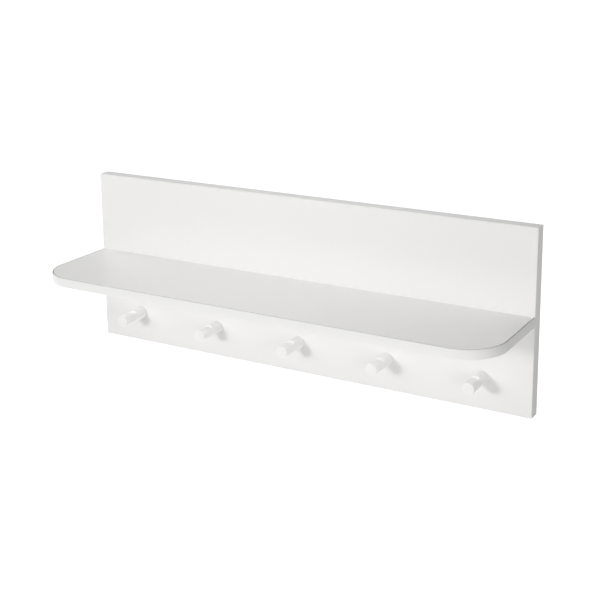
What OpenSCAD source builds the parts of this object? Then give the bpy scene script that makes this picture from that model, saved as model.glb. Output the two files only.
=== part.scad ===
// Wall hook rack: an upright back panel, a shelf with round front corners
// fixed across it, and a row of pegs below the shelf. The rack hangs
// on two keyhole plates let into the rear face.
// X runs along the rack and Z is up. The rear face lies on the plane y = 0,
// and the rack stands out from it towards -Y. The origin is the centre of
// the rear face. All sizes are in millimetres.

/* [Back panel] */
// Overall length of the rack
rack_w = 800; // [640:10:1200]
// Height of the back panel
panel_h = 295; // [280:5:400]
// Thickness of the back panel
panel_t = 22; // [18:1:28]
// Thickness of the edge strips on the panel and the shelf
band_t = 1; // [0.6:0.2:2]

/* [Shelf] */
// Depth of the shelf in front of the panel
shelf_d = 178; // [140:2:240]
// Thickness of the shelf
shelf_t = 15; // [15:1:22]
// Height of the shelf's top face above the panel's bottom edge
shelf_top = 159; // [130:1:180]
// Radius of the shelf's two front corners
corner_r = 65; // [20:1:70]
// Width of the open joint between the shelf's facing and its edge strip
joint_w = 1.1; // [0.4:0.1:2]
// Depth of that joint
joint_deep = 1.4; // [0.4:0.1:3]

/* [Pegs] */
// Length of a peg in front of the panel
peg_l = 56; // [44:1:80]
// Height of the peg row above the panel's bottom edge
peg_z = 52; // [30:1:70]
// Diameter of a peg's body
peg_d = 20; // [17:0.5:20.5]
// Diameter of a peg at its foot, against the panel
peg_foot_d = 20.5; // [20.5:0.5:26]
// Radius of the rounding round the free end
peg_end_r = 0.8; // [0.3:0.1:2]
// Distance from the panel to the lowest point of the saddle in a peg's top
saddle_at = 28; // [28:1:34]
// Depth of the saddle
saddle_deep = 3; // [1:0.1:4.5]

/* [Fixings] */
// Thread diameter of the countersunk screws that hold the pegs
peg_screw_d = 4; // [3.5:0.5:5]
// Length of the peg screws
peg_screw_l = 40; // [35:1:42]
// Thread diameter of the connector screws that hold the shelf
shelf_screw_d = 5; // [4.5:0.5:6]
// Length of the shelf screws
shelf_screw_l = 50; // [45:5:60]
// Diameter of the wooden dowels in the shelf joint
dowel_d = 8; // [6:1:8]
// Length of the wooden dowels
dowel_l = 30; // [25:1:35]

/* [Hangers] */
// Distance of each keyhole from the end of the rack
hanger_inset = 100; // [60:5:150]
// Distance of each hanger plate's centre below the top edge of the panel
hanger_drop = 35; // [25:1:60]
// Length of a hanger plate
plate_w = 54; // [46:1:70]
// Height of a hanger plate
plate_h = 24; // [22:1:30]
// Thickness of a hanger plate
plate_t = 2; // [1.5:0.5:3]
// Diameter of the keyhole's round entry
key_d = 10; // [8:0.5:11]
// Width of the keyhole's slot, for the shank of the wall screw
slot_w = 5; // [3.5:0.5:5]
// Height from the entry's centre to the seat of the wall screw
key_rise = 9; // [7:0.5:10]
// Depth of the pocket for the screw head behind the plate
pocket_t = 8; // [5:0.5:10]

/* [Hidden] */

// Faces are true curves; $fn only sets how finely they are drawn.
$fn = 64;

// Clearance round the fixings, and the depth that sunk heads lie below the face
gap = 0.05;
sunk = 0.4;

z_bottom = -panel_h / 2;
z_top = panel_h / 2;
z_shelf_top = z_bottom + shelf_top;
z_shelf_mid = z_shelf_top - shelf_t / 2;
z_pegs = z_bottom + peg_z;

// Five pegs at a fifth of the length apart, half of that in from each end
peg_pitch = rack_w / 5;
peg_x = [for (i = [-2:2]) i * peg_pitch];

// Screws and dowels take turns along the shelf joint
joint_pitch = rack_w * 0.14;
screw_x = [for (i = [-3, -1, 1, 3]) i * joint_pitch];
dowel_x = [for (i = [-2, 0, 2]) i * joint_pitch];
dowel_in_panel = 11;

hanger_x = rack_w / 2 - hanger_inset;
z_hanger = z_top - hanger_drop;
plate_screw_x = plate_w / 2 - plate_h / 2 + 4;
hanger_screw_d = 3;
hanger_screw_l = 15;
// The keyhole's entry lies below the plate's centre and its seat above
key_z = -key_rise / 2;
seat_z = key_z + key_rise;

peg_screw_head = peg_screw_d * 2;
shelf_screw_head = shelf_screw_d * 1.9;
hanger_screw_head = hanger_screw_d * 2;

white = [0.95, 0.945, 0.94];
core = [0.82, 0.72, 0.58];
zinc = [0.78, 0.79, 0.81];
steel = [0.68, 0.68, 0.70];
beech = [0.86, 0.72, 0.52];

// Puts children on the rear face: their +Z points into the rack, their +Y up
module from_rear(x, z) {
  translate([x, 0, z]) rotate([90, 0, 0]) children();
}

// Upright plate outline with half-round ends, for the hanger plates
module stadium(w, h) {
  union() {
    square([w - h, h], center = true);
    for (s = [-1, 1]) translate([s * (w - h) / 2, 0]) circle(d = h);
  }
}

// Shelf outline: straight rear edge on y = 0, two round corners at the front
module shelf_outline(w, d, r) {
  union() {
    translate([-w / 2, -(d - r)]) square([w, d - r]);
    translate([-(w / 2 - r), -d]) square([w - 2 * r, d]);
    for (s = [-1, 1]) translate([s * (w / 2 - r), -(d - r)]) circle(r = r, $fn = 96);
  }
}

// Flat-topped, countersunk head profile followed by a shank with ring-shaped
// thread crests and a point. Axis +Z, top of the head on z = 0.
function screw_profile(d, l, head, collar, pitch) =
  let (
    root = d * 0.34,
    crest = d / 2,
    cone = (head - d * 0.9) / 2,
    n = floor((l - cone - collar - d * 0.8) / pitch),
    z0 = cone + collar
  )
  concat(
    [[0, 0], [head / 2, 0], [head / 2, 0.35], [d * 0.45, cone + 0.35], [d * 0.45, z0]],
    [for (i = [0:n - 1], k = [0:1]) k == 0 ? [root, z0 + (i + 0.15) * pitch] : [crest, z0 + (i + 0.6) * pitch]],
    [[root, z0 + n * pitch], [0, l]]
  );

module cross_recess(d, t) {
  for (a = [45, 135]) rotate([0, 0, a]) translate([-d / 2, -d / 10, -1]) cube([d, d / 5, t + 1]);
  translate([0, 0, -1]) cylinder(d = d * 0.42, h = t + 1.3);
}

module wood_screw(d, l, head, collar, pitch) {
  difference() {
    rotate_extrude($fn = 32) polygon(screw_profile(d, l, head, collar, pitch));
    cross_recess(head * 0.62, d * 0.42);
  }
}

module connector_screw(d, l, head, collar, pitch) {
  difference() {
    rotate_extrude($fn = 32) polygon(screw_profile(d, l, head, collar, pitch));
    translate([0, 0, -1]) cylinder(d = 4.3, h = 3.6, $fn = 6);
  }
}

// Clearance hole from the rear face with a seat for the sunk head
module screw_way(d, head, depth) {
  translate([0, 0, -1]) cylinder(d = d + 2 * gap, h = depth + 1);
  translate([0, 0, -1]) cylinder(d = head + 4 * gap, h = 1 + sunk + 0.4);
  translate([0, 0, sunk + 0.4])
    cylinder(d1 = head + 4 * gap, d2 = d * 0.9 + 4 * gap, h = (head - d * 0.9) / 2);
}

// Rear recess, head pocket and screw holes for one hanger plate
module hanger_cut() {
  translate([0, 0, -1]) linear_extrude(1 + 0.2 + plate_t) stadium(plate_w + 0.4, plate_h + 0.4);
  translate([0, 0, 0.1 + plate_t]) linear_extrude(pocket_t + 0.1)
    union() {
      translate([-(key_d + 3) / 2, key_z]) square([key_d + 3, key_rise]);
      for (z = [key_z, seat_z]) translate([0, z]) circle(d = key_d + 3);
    }
  for (s = [-1, 1]) translate([s * plate_screw_x, 0, plate_t])
    cylinder(d = hanger_screw_d + 2 * gap, h = hanger_screw_l);
}

module hanger_plate() {
  translate([0, 0, 0.2]) difference() {
    linear_extrude(plate_t) difference() {
      stadium(plate_w, plate_h);
      union() {
        translate([0, key_z]) circle(d = key_d);
        translate([-slot_w / 2, key_z]) square([slot_w, key_rise]);
        translate([0, seat_z]) circle(d = slot_w);
      }
      for (s = [-1, 1]) translate([s * plate_screw_x, 0]) circle(d = hanger_screw_d + 0.4);
    }
    for (s = [-1, 1]) translate([s * plate_screw_x, 0, -0.05])
      cylinder(d1 = hanger_screw_head + 0.5, d2 = hanger_screw_d + 0.4, h = (hanger_screw_head - hanger_screw_d) / 2 + 0.1);
  }
}

// Core of the back panel, with every hole that it is drilled with
module back_panel() {
  color(white) difference() {
    translate([-(rack_w / 2 - band_t), -panel_t, z_bottom + band_t])
      cube([rack_w - 2 * band_t, panel_t, panel_h - 2 * band_t]);
    for (x = peg_x) from_rear(x, z_pegs) screw_way(peg_screw_d, peg_screw_head, panel_t + 1);
    for (x = screw_x) from_rear(x, z_shelf_mid) screw_way(shelf_screw_d, shelf_screw_head, panel_t + 1);
    for (x = dowel_x) translate([x, -panel_t - 1, z_shelf_mid]) rotate([-90, 0, 0])
      cylinder(d = dowel_d + 2 * gap, h = 1 + dowel_in_panel);
    for (s = [-1, 1]) from_rear(s * hanger_x, z_hanger) hanger_cut();
  }
}

// Edge strips of the panel: top and bottom run the full length
module panel_band_long(z) {
  color(white) translate([-rack_w / 2, -panel_t, z]) cube([rack_w, panel_t, band_t]);
}
module panel_band_short(x) {
  color(white) translate([x, -panel_t, z_bottom + band_t]) cube([band_t, panel_t, panel_h - 2 * band_t]);
}
module panel_band_top() { panel_band_long(z_top - band_t); }
module panel_band_bottom() { panel_band_long(z_bottom); }
module panel_band_left() { panel_band_short(-rack_w / 2); }
module panel_band_right() { panel_band_short(rack_w / 2 - band_t); }

// Core of the shelf, drilled from behind for its screws and dowels
module shelf_board() {
  color(white) difference() {
    translate([0, -panel_t, z_shelf_top - shelf_t]) linear_extrude(shelf_t)
      shelf_outline(rack_w - 2 * band_t, shelf_d - band_t, corner_r - band_t);
    for (x = screw_x) from_rear(x, z_shelf_mid)
      cylinder(d = shelf_screw_d + 2 * gap, h = sunk + shelf_screw_l + 2);
    for (x = dowel_x) from_rear(x, z_shelf_mid)
      cylinder(d = dowel_d + 2 * gap, h = panel_t - dowel_in_panel + dowel_l + 2);
    shelf_joint();
  }
}

// Open joint round the top of the shelf's core, just inside the edge strip
module shelf_joint() {
  inner = band_t + joint_w;
  translate([0, -panel_t, z_shelf_top - joint_deep]) linear_extrude(joint_deep + 1) difference() {
    union() {
      shelf_outline(rack_w, shelf_d, corner_r);
      translate([-rack_w / 2, -1]) square([rack_w, 2]);
    }
    union() {
      shelf_outline(rack_w - 2 * inner, shelf_d - inner, corner_r - inner);
      translate([-(rack_w / 2 - inner), -1]) square([rack_w - 2 * inner, 3]);
    }
  }
}

// One strip along the left end, the front and the right end of the shelf
module shelf_band() {
  color(white) translate([0, -panel_t, z_shelf_top - shelf_t]) linear_extrude(shelf_t) difference() {
    shelf_outline(rack_w, shelf_d, corner_r);
    translate([0, 1]) shelf_outline_cut();
  }
}
module shelf_outline_cut() {
  union() {
    translate([0, -1]) shelf_outline(rack_w - 2 * band_t, shelf_d - band_t, corner_r - band_t);
    translate([-(rack_w / 2 - band_t), -2]) square([rack_w - 2 * band_t, 3]);
  }
}

// Round peg: a slightly wider foot, a straight body and a flat free end, with
// a saddle cut in its top, steep towards the panel and gentle towards the free
// end. peg_r is the radius at a distance s from the panel.
function ease(t) = let (u = min(1, max(0, t))) u * u * (3 - 2 * u);
function peg_r(s) = peg_d / 2 + (peg_foot_d - peg_d) / 2 * ease((14 - s) / 8);

// k runs along the saddle from -1 at its edge near the panel over 0 at its
// lowest point to 1 at its edge near the free end
function saddle_s(k) = saddle_at + (k < 0 ? 6 : peg_l - 2 - saddle_at) * k;
function saddle_z(k) = peg_d / 2 + 0.02 - saddle_deep * (1 - ease(abs(k)));
module saddle_cut() {
  rotate([0, -90, 0]) linear_extrude(2 * peg_d, center = true) polygon(concat(
    [for (i = [-8:10]) let (k = i < 0 ? i / 8 : i / 10) [saddle_s(k), saddle_z(k)]],
    [[saddle_s(1), peg_d / 2 + 5], [saddle_s(-1), peg_d / 2 + 5]]
  ));
}

module peg(x) {
  straight = peg_l - peg_end_r;
  color(white) translate([x, -panel_t, z_pegs]) rotate([90, 0, 0]) difference() {
    rotate_extrude($fn = 48) polygon(concat(
      [[0, 0], [peg_r(0) - 0.3, 0], [peg_r(0), 0.3]],
      [for (s = [6:2:14]) [peg_r(s), s]],
      [for (a = [0:15:90]) [peg_r(straight) - peg_end_r * (1 - cos(a)), straight + peg_end_r * sin(a)]],
      [[0, peg_l]]
    ));
    translate([0, 0, -1]) cylinder(d = peg_screw_d + 2 * gap, h = 1 + peg_screw_l + sunk - panel_t + 2);
    saddle_cut();
  }
}
module peg_1() { peg(peg_x[0]); }
module peg_2() { peg(peg_x[1]); }
module peg_3() { peg(peg_x[2]); }
module peg_4() { peg(peg_x[3]); }
module peg_5() { peg(peg_x[4]); }

// Five countersunk screws, one into each peg from behind the panel
module peg_screws() {
  color(steel) for (x = peg_x) from_rear(x, z_pegs) translate([0, 0, sunk])
    wood_screw(peg_screw_d, peg_screw_l, peg_screw_head, 14, 1.8);
}

// Four connector screws through the panel into the rear edge of the shelf
module shelf_screws() {
  color(steel) for (x = screw_x) from_rear(x, z_shelf_mid) translate([0, 0, sunk])
    connector_screw(shelf_screw_d, shelf_screw_l, shelf_screw_head, 16, 2.4);
}

// Three dowels that line the shelf up with the panel
module shelf_dowels() {
  color(beech) for (x = dowel_x) from_rear(x, z_shelf_mid) translate([0, 0, panel_t - dowel_in_panel])
    rotate_extrude() polygon([
      [0, 0], [dowel_d / 2 - 1, 0], [dowel_d / 2, 1.5],
      [dowel_d / 2, dowel_l - 1.5], [dowel_d / 2 - 1, dowel_l], [0, dowel_l]
    ]);
}

module hanger_plate_left() { color(zinc) from_rear(-hanger_x, z_hanger) hanger_plate(); }
module hanger_plate_right() { color(zinc) from_rear(hanger_x, z_hanger) hanger_plate(); }

// Two countersunk screws in each hanger plate
module hanger_screws() {
  color(steel) for (h = [-1, 1], s = [-1, 1]) from_rear(h * hanger_x + s * plate_screw_x, z_hanger)
    translate([0, 0, 0.25]) wood_screw(hanger_screw_d, hanger_screw_l, hanger_screw_head, 1.5, 1.35);
}

back_panel();
panel_band_top();
panel_band_bottom();
panel_band_left();
panel_band_right();
shelf_board();
shelf_band();
peg_1();
peg_2();
peg_3();
peg_4();
peg_5();
peg_screws();
shelf_screws();
shelf_dowels();
hanger_plate_left();
hanger_plate_right();
hanger_screws();
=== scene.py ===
import math

import bmesh
import bpy
import numpy as np
from mathutils import Matrix, Vector


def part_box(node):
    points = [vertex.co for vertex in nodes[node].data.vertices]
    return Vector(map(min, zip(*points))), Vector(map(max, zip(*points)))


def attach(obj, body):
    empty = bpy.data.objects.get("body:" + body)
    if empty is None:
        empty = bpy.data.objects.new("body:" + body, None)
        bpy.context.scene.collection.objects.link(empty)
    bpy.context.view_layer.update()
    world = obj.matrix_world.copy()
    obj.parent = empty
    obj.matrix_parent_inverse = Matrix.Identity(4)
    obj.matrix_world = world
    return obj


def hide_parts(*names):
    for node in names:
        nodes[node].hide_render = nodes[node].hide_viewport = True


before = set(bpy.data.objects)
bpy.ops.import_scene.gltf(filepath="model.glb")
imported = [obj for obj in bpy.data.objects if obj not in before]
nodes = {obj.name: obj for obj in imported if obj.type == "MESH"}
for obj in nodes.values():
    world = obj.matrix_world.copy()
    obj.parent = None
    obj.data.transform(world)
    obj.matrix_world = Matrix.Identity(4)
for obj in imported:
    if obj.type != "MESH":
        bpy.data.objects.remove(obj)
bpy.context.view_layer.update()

MM = 0.001


# ---------------------------------------------------------------- camera
def camera():
    yaw, pitch, roll = 0.52616979, 0.23196613, -0.01035538
    fwd = Vector((-math.sin(yaw), math.cos(yaw), 0))
    right = Vector((math.cos(yaw), math.sin(yaw), 0))
    up = Vector((0, 0, 1))
    f2 = fwd * math.cos(pitch) - up * math.sin(pitch)
    u2 = up * math.cos(pitch) + fwd * math.sin(pitch)
    r3 = right * math.cos(roll) + u2 * math.sin(roll)
    u3 = u2 * math.cos(roll) - right * math.sin(roll)
    data = bpy.data.cameras.new("camera")
    data.sensor_fit = "HORIZONTAL"
    data.sensor_width = 36.0
    data.lens = 1218.926 / 592 * 36
    data.shift_y = -100 / 592
    data.clip_start = 0.05
    data.clip_end = 200
    cam = bpy.data.objects.new("camera", data)
    m = Matrix((r3, u3, -f2)).transposed().to_4x4()
    m.translation = (0.8 * 1.18630742, 0.8 * -2.04785693 - 0.022, 0.8 * 0.93200072 - 0.1475)
    cam.matrix_world = m
    bpy.context.scene.collection.objects.link(cam)
    bpy.context.scene.camera = cam
    return cam


camera()


# ---------------------------------------------------------------- node helpers
class Nodes:
    """A material's node tree, filled in from the shader backwards."""

    def __init__(self, name):
        self.mat = bpy.data.materials.new(name)
        self.mat.use_nodes = True
        self.t = self.mat.node_tree
        self.t.nodes.clear()
        self.out = self.t.nodes.new("ShaderNodeOutputMaterial")
        self.bsdf = self.t.nodes.new("ShaderNodeBsdfPrincipled")
        self.t.links.new(self.bsdf.outputs[0], self.out.inputs["Surface"])
        self.coord = self.t.nodes.new("ShaderNodeTexCoord")

    def link(self, a, b):
        self.t.links.new(a, b)

    def set(self, **kw):
        for k, v in kw.items():
            self.bsdf.inputs[k.replace("_", " ")].default_value = v

    def mapping(self, scale=(1, 1, 1), rot=(0, 0, 0), loc=(0, 0, 0), src=None):
        n = self.t.nodes.new("ShaderNodeMapping")
        n.inputs["Scale"].default_value = scale
        n.inputs["Rotation"].default_value = rot
        n.inputs["Location"].default_value = loc
        self.link(src or self.coord.outputs["Object"], n.inputs["Vector"])
        return n.outputs[0]

    def noise(self, vec, scale, detail=2.0, rough=0.5, distortion=0.0):
        n = self.t.nodes.new("ShaderNodeTexNoise")
        n.inputs["Scale"].default_value = scale
        n.inputs["Detail"].default_value = detail
        n.inputs["Roughness"].default_value = rough
        n.inputs["Distortion"].default_value = distortion
        self.link(vec, n.inputs["Vector"])
        return n.outputs["Fac"]

    def voronoi(self, vec, scale, feature="F1", rand=1.0, out="Distance"):
        n = self.t.nodes.new("ShaderNodeTexVoronoi")
        n.feature = feature
        n.inputs["Scale"].default_value = scale
        n.inputs["Randomness"].default_value = rand
        self.link(vec, n.inputs["Vector"])
        return n.outputs[out]

    def ramp(self, fac, stops, interp="LINEAR"):
        n = self.t.nodes.new("ShaderNodeValToRGB")
        n.color_ramp.interpolation = interp
        e = n.color_ramp.elements
        while len(e) < len(stops):
            e.new(0.5)
        for el, (p, c) in zip(e, stops):
            el.position = p
            el.color = (c, c, c, 1) if isinstance(c, (int, float)) else (*c, 1)
        self.link(fac, n.inputs["Fac"])
        return n.outputs["Color"]

    def range(self, fac, lo, hi, a=0.0, b=1.0):
        n = self.t.nodes.new("ShaderNodeMapRange")
        for k, v in (("From Min", a), ("From Max", b), ("To Min", lo), ("To Max", hi)):
            n.inputs[k].default_value = v
        self.link(fac, n.inputs["Value"])
        return n.outputs[0]

    def math(self, op, a, b=None):
        n = self.t.nodes.new("ShaderNodeMath")
        n.operation = op
        for i, v in enumerate((a, b)):
            if v is None:
                continue
            if isinstance(v, (int, float)):
                n.inputs[i].default_value = v
            else:
                self.link(v, n.inputs[i])
        return n.outputs[0]

    def mix(self, fac, a, b):
        n = self.t.nodes.new("ShaderNodeMix")
        n.data_type = "RGBA"
        ins = [s for s in n.inputs if s.type == "RGBA"]
        outs = [s for s in n.outputs if s.type == "RGBA"]
        f = [s for s in n.inputs if s.name == "Factor" and s.type == "VALUE"][0]
        if isinstance(fac, (int, float)):
            f.default_value = fac
        else:
            self.link(fac, f)
        for s, v in zip(ins, (a, b)):
            if isinstance(v, (tuple, list)):
                s.default_value = (*v, 1)
            else:
                self.link(v, s)
        return outs[0]

    def bump(self, height, distance, strength=1.0, normal=None):
        n = self.t.nodes.new("ShaderNodeBump")
        n.inputs["Distance"].default_value = distance
        n.inputs["Strength"].default_value = strength
        self.link(height, n.inputs["Height"])
        if normal is not None:
            self.link(normal, n.inputs["Normal"])
        return n.outputs[0]

    def to(self, socket, name):
        self.link(socket, self.bsdf.inputs[name])


# ---------------------------------------------------------------- materials
def mat_board(name="melamine_board", cores=True, gloss=0.24):
    """White melamine facing with a fine pearl; below the faces, the chipboard that the drill shows."""
    n = Nodes(name)
    v = n.mapping()
    cloud = n.noise(v, 9.0, 3.0, 0.55)
    fleck = n.noise(v, 420.0, 2.0, 0.6)
    white = n.mix(cloud, (0.873, 0.867, 0.855), (0.879, 0.873, 0.862))
    white = n.mix(n.range(fleck, 0.0, 0.35, 0.35, 0.75), white, (0.868, 0.863, 0.853))
    pearl = n.noise(v, 760.0, 3.0, 0.55)
    wave = n.noise(v, 130.0, 2.0, 0.5)
    rough = n.range(n.noise(v, 55.0, 4.0, 0.6), gloss - 0.02, gloss + 0.02, 0.3, 0.7)
    height = n.math("ADD", n.math("MULTIPLY", pearl, 0.55), n.math("MULTIPLY", wave, 0.45))
    n.set(IOR=1.5)
    if cores:
        sep = n.t.nodes.new("ShaderNodeSeparateXYZ")
        n.link(n.coord.outputs["Object"], sep.inputs[0])
        deep = n.math("MULTIPLY", n.math("LESS_THAN", sep.outputs["Y"], -0.00005),
                      n.math("GREATER_THAN", sep.outputs["Y"], -0.02195))
        chips = n.voronoi(n.mapping(scale=(1.0, 1.6, 1.0)), 620.0, out="Color")
        bw = n.t.nodes.new("ShaderNodeRGBToBW")
        n.link(chips, bw.inputs[0])
        chip = n.ramp(bw.outputs[0], [(0.0, (0.20, 0.12, 0.06)), (0.3, (0.42, 0.29, 0.17)),
                                      (0.7, (0.55, 0.41, 0.26)), (1.0, (0.66, 0.53, 0.37))])
        grit = n.noise(v, 1500.0, 4.0, 0.7)
        chip = n.mix(n.range(grit, 0.0, 0.5, 0.4, 0.7), chip, (0.30, 0.20, 0.11))
        n.to(n.mix(deep, white, chip), "Base Color")
        r = n.t.nodes.new("ShaderNodeMix")
        r.data_type = "FLOAT"
        n.link(deep, r.inputs[0])
        n.link(rough, r.inputs[2])
        n.link(n.range(grit, 0.8, 0.95), r.inputs[3])
        n.to(r.outputs[0], "Roughness")
    else:
        n.to(white, "Base Color")
        n.to(rough, "Roughness")
    n.to(n.bump(height, 0.000012, 0.8), "Normal")
    return n.mat


def mat_edge():
    """Plastic edge strip: the same white, with the faint drawn lines of an extruded strip."""
    n = Nodes("edge_strip")
    v = n.mapping()
    cloud = n.noise(v, 14.0, 3.0, 0.5)
    n.to(n.mix(cloud, (0.868, 0.863, 0.853), (0.876, 0.871, 0.861)), "Base Color")
    fine = n.noise(v, 900.0, 3.0, 0.55)
    drawn = n.noise(n.mapping(scale=(0.02, 1.0, 1.0)), 1400.0, 2.0, 0.5)
    n.to(n.range(n.noise(v, 70.0, 3.0, 0.6), 0.29, 0.31, 0.3, 0.7), "Roughness")
    n.to(n.bump(n.math("ADD", n.math("MULTIPLY", fine, 0.6), n.math("MULTIPLY", drawn, 0.4)), 0.000006, 0.6), "Normal")
    n.set(IOR=1.49)
    return n.mat


def mat_joint_shade():
    """Grey in the joint between a facing and its edge strip: glue colour, darkened further as painted shade for the
    groove, mottled at random.
    """
    n = Nodes("joint_glue_painted_shade")
    v = n.mapping()
    joint_mottle = n.noise(v, 260.0, 4.0, 0.65)
    # painted shade: these dark greys deepen the shade in the groove beyond the glue's own colour
    n.to(n.ramp(joint_mottle, [(0.3, (0.15, 0.145, 0.14)), (0.7, (0.27, 0.26, 0.25))]), "Base Color")
    n.to(n.range(joint_mottle, 0.55, 0.75), "Roughness")
    n.to(n.bump(joint_mottle, 0.00004, 0.6), "Normal")
    return n.mat


def mat_peg():
    """Turned wood under white satin lacquer: tool rings, and grain that telegraphs through."""
    n = Nodes("lacquered_peg")
    v = n.mapping()
    grain = n.noise(n.mapping(scale=(1.0, 0.05, 1.0)), 900.0, 3.0, 0.6)
    rings = n.noise(n.mapping(scale=(0.03, 1.0, 0.03)), 520.0, 2.0, 0.5)
    cloud = n.noise(v, 45.0, 3.0, 0.5)
    base = n.mix(cloud, (0.866, 0.861, 0.851), (0.874, 0.869, 0.859))
    n.to(n.mix(n.range(grain, 0.0, 0.3, 0.55, 0.8), base, (0.84, 0.832, 0.818)), "Base Color")
    n.to(n.range(n.noise(v, 160.0, 3.0, 0.6), 0.36, 0.46, 0.3, 0.7), "Roughness")
    h = n.math("ADD", n.math("MULTIPLY", grain, 0.45),
               n.math("ADD", n.math("MULTIPLY", rings, 0.35), n.math("MULTIPLY", n.noise(v, 700.0, 2.0, 0.5), 0.2)))
    n.to(n.bump(h, 0.00003, 0.6), "Normal")
    n.set(IOR=1.5)
    return n.mat


def mat_zinc():
    """Zinc-plated pressed steel: faint spangle and rolling lines."""
    n = Nodes("zinc_plate")
    v = n.mapping()
    spangle = n.voronoi(v, 240.0, out="Color")
    bw = n.t.nodes.new("ShaderNodeRGBToBW")
    n.link(spangle, bw.inputs[0])
    rolled = n.noise(n.mapping(scale=(0.04, 1.0, 1.0)), 1300.0, 3.0, 0.6)
    base = n.mix(n.range(bw.outputs[0], 0.0, 1.0), (0.60, 0.61, 0.63), (0.70, 0.71, 0.73))
    tarnish = n.noise(v, 60.0, 4.0, 0.6)
    n.to(n.mix(n.range(tarnish, 0.0, 0.5, 0.5, 0.8), base, (0.56, 0.555, 0.54)), "Base Color")
    n.set(Metallic=1.0)
    n.to(n.range(rolled, 0.30, 0.46), "Roughness")
    n.to(n.bump(n.math("ADD", n.math("MULTIPLY", rolled, 0.7), n.math("MULTIPLY", bw.outputs[0], 0.3)), 0.00002, 0.5), "Normal")
    return n.mat


def mat_steel():
    """Zinc-plated screw steel with fine turning marks and darker patches at random."""
    n = Nodes("screw_steel")
    v = n.mapping()
    fine = n.noise(v, 1800.0, 3.0, 0.6)
    soot = n.noise(v, 320.0, 4.0, 0.65)
    n.to(n.mix(n.range(soot, 0.0, 0.6, 0.45, 0.8), (0.62, 0.62, 0.63), (0.40, 0.395, 0.385)), "Base Color")
    n.set(Metallic=1.0)
    n.to(n.range(fine, 0.26, 0.42), "Roughness")
    n.to(n.bump(fine, 0.000015, 0.6), "Normal")
    return n.mat


def mat_beech():
    """Plain beech dowel: long grain with dark flecks."""
    n = Nodes("beech")
    v = n.mapping()
    grain = n.noise(n.mapping(scale=(1.0, 0.06, 1.0)), 700.0, 4.0, 0.6)
    fleck = n.noise(n.mapping(scale=(1.0, 0.16, 1.0)), 1500.0, 2.0, 0.5)
    base = n.ramp(grain, [(0.25, (0.50, 0.33, 0.18)), (0.55, (0.64, 0.46, 0.28)), (0.8, (0.72, 0.55, 0.36))])
    n.to(n.mix(n.range(fleck, 0.0, 0.7, 0.62, 0.75), base, (0.36, 0.21, 0.11)), "Base Color")
    n.to(n.range(grain, 0.55, 0.75), "Roughness")
    n.to(n.bump(grain, 0.00006, 0.6), "Normal")
    return n.mat


M = {
    "board": mat_board(),
    "shelf": mat_board("melamine_shelf", cores=False),
    "edge": mat_edge(),
    "joint_shade": mat_joint_shade(),
    "peg": mat_peg(),
    "zinc": mat_zinc(),
    "steel": mat_steel(),
    "beech": mat_beech(),
}


def dress(node, key):
    o = nodes[node]
    o.data.materials.clear()
    o.data.materials.append(M[key])


# ---------------------------------------------------------------- mesh helpers
def finish_mesh(name, bm, mats, angle=32.0):
    """bm becomes an object that rides on the rack, smooth except across edges sharper than angle."""
    bmesh.ops.recalc_face_normals(bm, faces=bm.faces)
    lim = math.radians(angle)
    for f in bm.faces:
        f.smooth = True
    for e in bm.edges:
        e.smooth = len(e.link_faces) == 2 and e.calc_face_angle(0.0) < lim
    me = bpy.data.meshes.new(name)
    bm.to_mesh(me)
    bm.free()
    for k in mats:
        me.materials.append(M[k])
    o = bpy.data.objects.new(name, me)
    bpy.context.scene.collection.objects.link(o)
    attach(o, "root")
    return o


def strip(name, lo, hi, outer, inner, r=0.45, c=0.16, cuts=None):
    """An edge strip from corner lo to corner hi (mm). outer(a, b) picks the arrises that are
    rounded, inner(a, b) those that get a hair of chamfer where the strip meets the board."""
    bm = bmesh.new()
    xs = (lo[0], hi[0])
    ys = (lo[1], hi[1])
    zs = (lo[2], hi[2])
    vs = {(i, j, k): bm.verts.new((xs[i], ys[j], zs[k])) for i in (0, 1) for j in (0, 1) for k in (0, 1)}
    for q in (((0, 0, 0), (0, 1, 0), (0, 1, 1), (0, 0, 1)), ((1, 0, 0), (1, 0, 1), (1, 1, 1), (1, 1, 0)),
              ((0, 0, 0), (0, 0, 1), (1, 0, 1), (1, 0, 0)), ((0, 1, 0), (1, 1, 0), (1, 1, 1), (0, 1, 1)),
              ((0, 0, 0), (1, 0, 0), (1, 1, 0), (0, 1, 0)), ((0, 0, 1), (0, 1, 1), (1, 1, 1), (1, 0, 1))):
        bm.faces.new([vs[i] for i in q])
    if c:
        soft = [e for e in bm.edges if inner(*(v.co for v in e.verts))]
        bmesh.ops.bevel(bm, geom=soft, offset=c, offset_type="OFFSET", segments=1, profile=0.5, affect="EDGES", clamp_overlap=True)
    round_ = [e for e in bm.edges if outer(*(v.co for v in e.verts))]
    bmesh.ops.bevel(bm, geom=round_, offset=r, offset_type="OFFSET", segments=4, profile=0.5, affect="EDGES", clamp_overlap=True)
    axis = 0 if hi[0] - lo[0] > hi[2] - lo[2] else 2
    span = (lo[axis], hi[axis])
    count = int((span[1] - span[0]) / 40)
    for i in range(1, count):
        p = span[0] + (span[1] - span[0]) * i / count
        co = [0, 0, 0]
        no = [0, 0, 0]
        co[axis] = p
        no[axis] = 1
        bmesh.ops.bisect_plane(bm, geom=list(bm.verts) + list(bm.edges) + list(bm.faces), plane_co=co, plane_no=no)
    bmesh.ops.scale(bm, vec=(MM, MM, MM), verts=bm.verts)
    return bm


def near(a, b, tol=1e-4):
    return abs(a - b) < tol


# ---------------------------------------------------------------- back panel
lo, hi = (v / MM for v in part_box("panel_band_top"))
X0, X1, YF, YR, ZT = lo.x, hi.x, lo.y, hi.y, hi.z
BAND = hi.z - lo.z
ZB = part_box("panel_band_bottom")[0].z / MM

dress("back_panel", "board")


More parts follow.
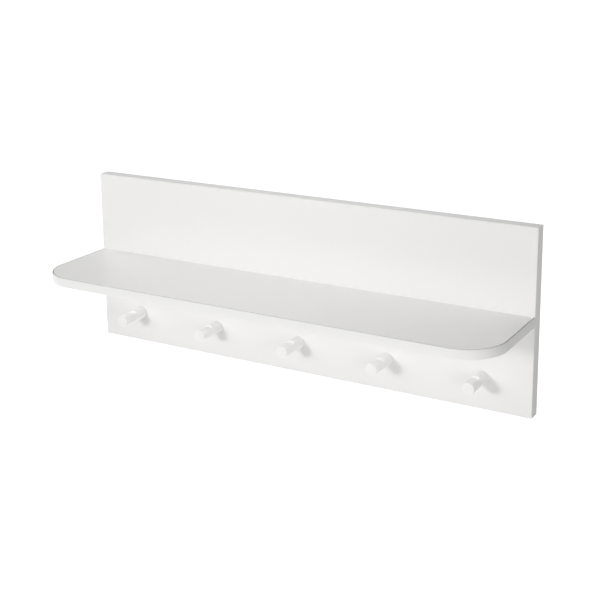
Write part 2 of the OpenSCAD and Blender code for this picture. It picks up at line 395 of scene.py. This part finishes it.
def long_band(name, z_out, z_in):
    def outer(a, b):
        ends = near(a.x, b.x) and (near(a.x, X0) or near(a.x, X1))
        if near(a.z, z_out) and near(b.z, z_out):
            return not (near(a.y, b.y) and near(a.x, b.x))
        return ends and near(a.y, b.y)

    def inner(a, b):
        return near(a.z, z_in) and near(b.z, z_in) and near(a.y, b.y)

    bm = strip(name, (X0, YF, min(z_in, z_out)), (X1, YR, max(z_in, z_out)), outer, inner)
    return finish_mesh(name, bm, ["edge"])


def short_band(name, x_out, x_in):
    def outer(a, b):
        return near(a.x, x_out) and near(b.x, x_out) and near(a.y, b.y)

    def inner(a, b):
        return near(a.x, x_in) and near(b.x, x_in) and near(a.y, b.y)

    bm = strip(name, (min(x_in, x_out), YF, ZB + BAND), (max(x_in, x_out), YR, ZT - BAND), outer, inner)
    return finish_mesh(name, bm, ["edge"])


for node, piece in (("panel_band_top", long_band("edge_strip_top", ZT, ZT - BAND)),
                    ("panel_band_bottom", long_band("edge_strip_bottom", ZB, ZB + BAND)),
                    ("panel_band_left", short_band("edge_strip_left", X0, X0 + BAND)),
                    ("panel_band_right", short_band("edge_strip_right", X1, X1 - BAND))):
    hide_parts(node)


# ---------------------------------------------------------------- shelf
lo, hi = (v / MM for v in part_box("shelf_band"))
SB, ST = lo.z, hi.z
SF = lo.y
CORNER = 65.0
GROOVE_W, GROOVE_D = 1.1, 1.4


def outline(inset, steps=44, straight=34):
    """Left rear corner, round the front, to the right rear corner: (x, y, outward x, outward y), mm."""
    r = CORNER - inset
    x = X1 - inset
    pts = []
    ys = np.linspace(YF, SF + CORNER, 8)[:-1]
    pts += [(-x, y, -1, 0) for y in ys]
    for a in np.linspace(0, math.pi / 2, steps):
        pts.append((-(X1 - CORNER) - r * math.cos(a), SF + CORNER - r * math.sin(a), -math.cos(a), -math.sin(a)))
    xs = np.linspace(-(X1 - CORNER), X1 - CORNER, straight)[1:-1]
    pts += [(px, SF + inset, 0, -1) for px in xs]
    left = pts[:len(ys) + steps]
    pts += [(-p[0], p[1], -p[2], p[3]) for p in reversed(left)]
    return pts


def shelf_band():
    top_r, low_r = 0.40, 0.45
    prof = [(-1.0, SB + 0.15), (-0.85, SB)]
    prof += [(-low_r * (1 - math.sin(a)), SB + low_r * (1 - math.cos(a))) for a in np.linspace(0, math.pi / 2, 5)]
    prof += [(-top_r * (1 - math.cos(a)), ST - top_r * (1 - math.sin(a))) for a in np.linspace(0, math.pi / 2, 5)]
    prof += [(-0.9, ST), (-1.0, ST - 0.1), (-1.0, ST - GROOVE_D - 0.1)]
    path = outline(0.0)
    bm = bmesh.new()
    rings = []
    for x, y, nx, ny in path:
        rings.append([bm.verts.new((x + nx * n, y + ny * n, z)) for n, z in prof])
    for a, b in zip(rings, rings[1:]):
        for i in range(len(prof)):
            j = (i + 1) % len(prof)
            bm.faces.new((a[i], a[j], b[j], b[i]))
    bm.faces.new(rings[0])
    bm.faces.new(list(reversed(rings[-1])))
    bmesh.ops.scale(bm, vec=(MM, MM, MM), verts=bm.verts)
    return finish_mesh("shelf_edge_strip", bm, ["edge"])


def shelf_board():
    gz = ST - GROOVE_D
    levels = [(1.15, SB), (1.0, SB + 0.15), (1.0, gz), (1.0 + GROOVE_W, gz), (1.0 + GROOVE_W, ST - 0.12), (1.12 + GROOVE_W, ST)]
    bm = bmesh.new()
    loops = []
    for inset, z in levels:
        loops.append([bm.verts.new((x, y, z)) for x, y, _, _ in outline(inset)])
    n = len(loops[0])
    for k, (a, b) in enumerate(zip(loops, loops[1:])):
        for i in range(n - 1):
            f = bm.faces.new((a[i], a[i + 1], b[i + 1], b[i]))
            # the groove's floor and board-side wall take the dark joint material: glue colour with painted shade
            f.material_index = 1 if 2 <= k <= 3 else 0
    for cap in (loops[0], loops[-1]):
        for i in range(n // 2 - 1):
            bm.faces.new((cap[i], cap[i + 1], cap[n - 2 - i], cap[n - 1 - i]))
    # rear face, against the panel
    col_l = [lp[0] for lp in loops]
    col_r = [lp[-1] for lp in loops]
    bm.faces.new(col_l + list(reversed(col_r)))
    bmesh.ops.scale(bm, vec=(MM, MM, MM), verts=bm.verts)
    return finish_mesh("shelf_facing", bm, ["shelf", "joint_shade"])


piece = shelf_band()
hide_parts("shelf_band")
piece = shelf_board()
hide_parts("shelf_board")


# ---------------------------------------------------------------- pegs
BODY, FOOT, END_R = 20.0, 20.5, 0.8
SADDLE_AT, SADDLE_DEEP, SADDLE_WALL = 28.0, 3.0, 6.0


def ease(t):
    t = min(1.0, max(0.0, t))
    return t * t * (3 - 2 * t)


def peg_r(s):
    """Radius of a peg at a distance s from the panel, before its saddle is cut."""
    return BODY / 2 + (FOOT - BODY) / 2 * ease((14 - s) / 8)


def saddle(s, length):
    """Height of the saddle's floor above the peg's axis."""
    k = (SADDLE_AT - s) / SADDLE_WALL if s < SADDLE_AT else (s - SADDLE_AT) / (length - 2 - SADDLE_AT)
    return peg_r(s) + 0.01 - SADDLE_DEEP * (1 - ease(k)) if k < 1 else 99.0


def peg(name, node):
    lo, hi = (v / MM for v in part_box(node))
    cx, cz = (lo.x + hi.x) / 2, (lo.z + hi.z) / 2
    length = hi.y - lo.y
    straight = length - END_R
    arc, chord = 64, 14
    wall = SADDLE_AT - SADDLE_WALL

    def section(r, s, floor):
        """One ring: round below, and flat on top where the saddle is cut."""
        top = min(math.radians(78), math.asin(min(1.0, floor / r)) if floor < r else math.pi)
        pts = []
        for k in range(arc + 1):
            t = top + (-math.pi - 2 * top) * k / arc
            pts.append((r * math.cos(t), r * math.sin(t)))
        half = r * math.cos(top)
        for k in range(1, chord):
            x = -half + 2 * half * k / chord
            pts.append((x, min(floor, math.sqrt(max(0.0, r * r - x * x)))))
        return [bm.verts.new((cx + x, YF - s, cz + z)) for x, z in pts]

    stations = [0.3 * (1 - math.sin(a)) for a in np.linspace(math.pi / 2, 0, 4)]
    stations += list(np.linspace(0.3, wall, 16)[1:]) + list(np.linspace(wall, SADDLE_AT + 3, 30)[1:])
    stations += list(np.linspace(SADDLE_AT + 3, straight, 34)[1:])
    ring = [(peg_r(s) - 0.3 * (1 - math.sqrt(max(0.0, 1 - (1 - min(1.0, s / 0.3)) ** 2))), s) for s in stations]
    e = peg_r(straight) - END_R
    ring += [(e + END_R * math.cos(a), straight + END_R * math.sin(a)) for a in np.linspace(0, math.pi / 2, 9)[1:]]
    ring += [(e * k, length) for k in (0.8, 0.55, 0.3, 0.12)]
    bore_r, bore_l = 2.05, 20.4
    bore = [(bore_r * 0.5, bore_l), (bore_r, bore_l), (bore_r, 14.0), (bore_r, 7.0), (bore_r, 0.3), (bore_r + 0.25, 0.0), (5.0, 0.0)]
    bm = bmesh.new()
    rings = [section(r, s, 99.0) for r, s in bore] + [section(r, s, saddle(s, length)) for r, s in ring]
    start = bm.verts.new((cx, YF - bore_l, cz))
    stop = bm.verts.new((cx, YF - length, cz))
    seg = len(rings[0])
    for k in range(seg):
        bm.faces.new((start, rings[0][k], rings[0][(k + 1) % seg]))
        bm.faces.new((stop, rings[-1][(k + 1) % seg], rings[-1][k]))
    for a, b in zip(rings, rings[1:]):
        for k in range(seg):
            j = (k + 1) % seg
            bm.faces.new((a[k], b[k], b[j], a[j]))
    bmesh.ops.scale(bm, vec=(MM, MM, MM), verts=bm.verts)
    o = finish_mesh(name, bm, ["peg"], angle=24)
    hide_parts(node)
    return o


for i in range(1, 6):
    peg("turned_peg_%d" % i, "peg_%d" % i)


# ---------------------------------------------------------------- fixings
dress("peg_screws", "steel")
dress("shelf_screws", "steel")
dress("hanger_screws", "steel")
dress("shelf_dowels", "beech")
dress("hanger_plate_left", "zinc")
dress("hanger_plate_right", "zinc")


# ---------------------------------------------------------------- surroundings
def area(name, loc, target, size, watts, size_y=None, color=(1, 1, 1), spread=180):
    d = bpy.data.lights.new(name, "AREA")
    d.shape = "RECTANGLE" if size_y else "DISK"
    d.size = size
    if size_y:
        d.size_y = size_y
    d.energy = watts
    d.color = color
    d.spread = math.radians(spread)
    o = bpy.data.objects.new(name, d)
    v = Vector(target) - Vector(loc)
    o.matrix_world = Matrix.Translation(loc) @ v.to_track_quat("-Z", "Y").to_matrix().to_4x4()
    o.visible_camera = False
    bpy.context.scene.collection.objects.link(o)
    return o


def surroundings():
    bm = bmesh.new()
    n = 12
    grid = [[bm.verts.new((-36 + 72 * i / n, -36 + 72 * j / n, -2.5)) for j in range(n + 1)] for i in range(n + 1)]
    for i in range(n):
        for j in range(n):
            bm.faces.new((grid[i][j], grid[i + 1][j], grid[i + 1][j + 1], grid[i][j + 1]))
    me = bpy.data.meshes.new("floor")
    bm.to_mesh(me)
    bm.free()
    m = bpy.data.materials.new("pale_floor")
    m.use_nodes = True
    b = m.node_tree.nodes["Principled BSDF"]
    b.inputs["Base Color"].default_value = (0.9, 0.9, 0.9, 1)
    b.inputs["Roughness"].default_value = 0.9
    b.inputs["Emission Color"].default_value = (1, 1, 1, 1)
    b.inputs["Emission Strength"].default_value = 1.0
    me.materials.append(m)
    floor = bpy.data.objects.new("floor", me)
    # the light from below is the studio's own, so the floor is only looked at
    floor.visible_diffuse = floor.visible_glossy = floor.visible_shadow = floor.visible_transmission = False
    bpy.context.scene.collection.objects.link(floor)


surroundings()


def studio(lobes, seen=1.02):
    """Soft studio light from far off: each lobe is (azimuth from the front towards +X, elevation, strength).
    The camera itself sees plain white."""
    world = bpy.data.worlds.new("studio")
    bpy.context.scene.world = world
    world.use_nodes = True
    t = world.node_tree
    t.nodes.clear()
    coord = t.nodes.new("ShaderNodeTexCoord")
    total = None
    for az, el, strength in lobes:
        a, e = math.radians(az), math.radians(el)
        dot = t.nodes.new("ShaderNodeVectorMath")
        dot.operation = "DOT_PRODUCT"
        dot.inputs[1].default_value = (math.sin(a) * math.cos(e), -math.cos(a) * math.cos(e), math.sin(e))
        t.links.new(coord.outputs["Generated"], dot.inputs[0])
        last = dot.outputs["Value"]
        for op, v in (("MAXIMUM", 0.0), ("POWER", 4.0), ("MULTIPLY", strength)):
            m = t.nodes.new("ShaderNodeMath")
            m.operation = op
            m.inputs[1].default_value = v
            t.links.new(last, m.inputs[0])
            last = m.outputs[0]
        if total is not None:
            m = t.nodes.new("ShaderNodeMath")
            m.operation = "ADD"
            t.links.new(total, m.inputs[0])
            t.links.new(last, m.inputs[1])
            last = m.outputs[0]
        total = last
    out = t.nodes.new("ShaderNodeOutputWorld")
    mix = t.nodes.new("ShaderNodeMixShader")
    path = t.nodes.new("ShaderNodeLightPath")
    white = t.nodes.new("ShaderNodeBackground")
    lit = t.nodes.new("ShaderNodeBackground")
    white.inputs["Color"].default_value = (1, 1, 1, 1)
    white.inputs["Strength"].default_value = seen
    lit.inputs["Color"].default_value = (1, 1, 1, 1)
    t.links.new(total, lit.inputs["Strength"])
    t.links.new(path.outputs["Is Camera Ray"], mix.inputs["Fac"])
    t.links.new(lit.outputs[0], mix.inputs[1])
    t.links.new(white.outputs[0], mix.inputs[2])
    t.links.new(mix.outputs[0], out.inputs["Surface"])


def softbox(name, az, el, size, watts, dist=2.6):
    a, e = math.radians(az), math.radians(el)
    loc = (dist * math.sin(a) * math.cos(e), -dist * math.cos(a) * math.cos(e) - 0.1, dist * math.sin(e))
    return area(name, loc, (0, -0.1, 0), size, watts)


studio([(0, -90, 1.82), (-90, -40, 1.53), (90, -40, 0.40), (180, 12, 0.80), (-135, 12, 0.34), (0, 50, 0.19), (45, 8, 0.83)])
AIM = (0, -0.1, 0)
area("key", (-0.54, -2.47, 0.54), AIM, 0.35, 16.0)
softbox("rear_left", -105, 30, 1.1, 17.0)
softbox("front_left", -30, 14, 1.1, 7.7)
softbox("front", 0, 14, 1.1, 2.2)
softbox("front_right", 60, 6, 1.1, 0.78)
area("side_right", (0.84, -0.8, 0.1), AIM, 0.4, 0.83)
area("side_right_far", (1.3, -1.25, 0.15), AIM, 0.6, 0.81)
area("top_left", (-0.8, -0.25, 0.5), (-0.2, -0.1, 0), 0.35, 0.26)
area("top_mid", (-0.1, -0.35, 0.6), AIM, 0.4, 0.71)
area("top_right", (0.25, -0.35, 0.6), AIM, 0.4, 0.30)
area("top_high", (0.1, -0.25, 0.9), AIM, 0.5, 0.62)

bpy.context.scene.view_settings.view_transform = "Standard"
bpy.context.scene.view_settings.look = "None"

bpy.context.view_layer.update()
